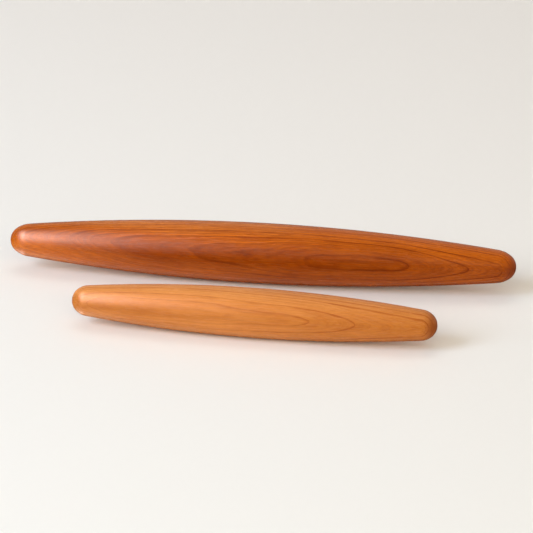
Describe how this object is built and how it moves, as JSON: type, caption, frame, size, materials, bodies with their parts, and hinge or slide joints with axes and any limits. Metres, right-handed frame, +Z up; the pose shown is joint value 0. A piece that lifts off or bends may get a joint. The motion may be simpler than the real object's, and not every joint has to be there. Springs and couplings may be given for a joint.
{
  "type": "french rolling pin",
  "caption": "Solid wooden rolling pins, a large dark one and a small pale one, each tapering in one long curve from a thick middle to rounded ends, for rolling out dough under the palms.",
  "frame": {"origin": "the point on the table under the middle of the large pin, where its belly touches", "axes": "+X along the large pin, towards the right end in the picture, +Z up; the small pin lies on the -Y side, with its +X end turned 1.9 degrees further towards -Y"},
  "size_m": [0.483, 0.1736, 0.0574],
  "materials": {
    "reddish_wood": "rubbed oil, satin",
    "golden_wood": "rubbed oil, satin"
  },
  "bodies": {
    "large_pin": {"large_pin": "reddish_wood"},
    "small_pin": {"small_pin": "golden_wood"}
  },
  "joints": [
    {"name": "small_pin_lift", "type": "slide", "parent": "large_pin", "child": "small_pin", "axis": [0, 0, 1], "range_m": [0, 0.12]}
  ]
}
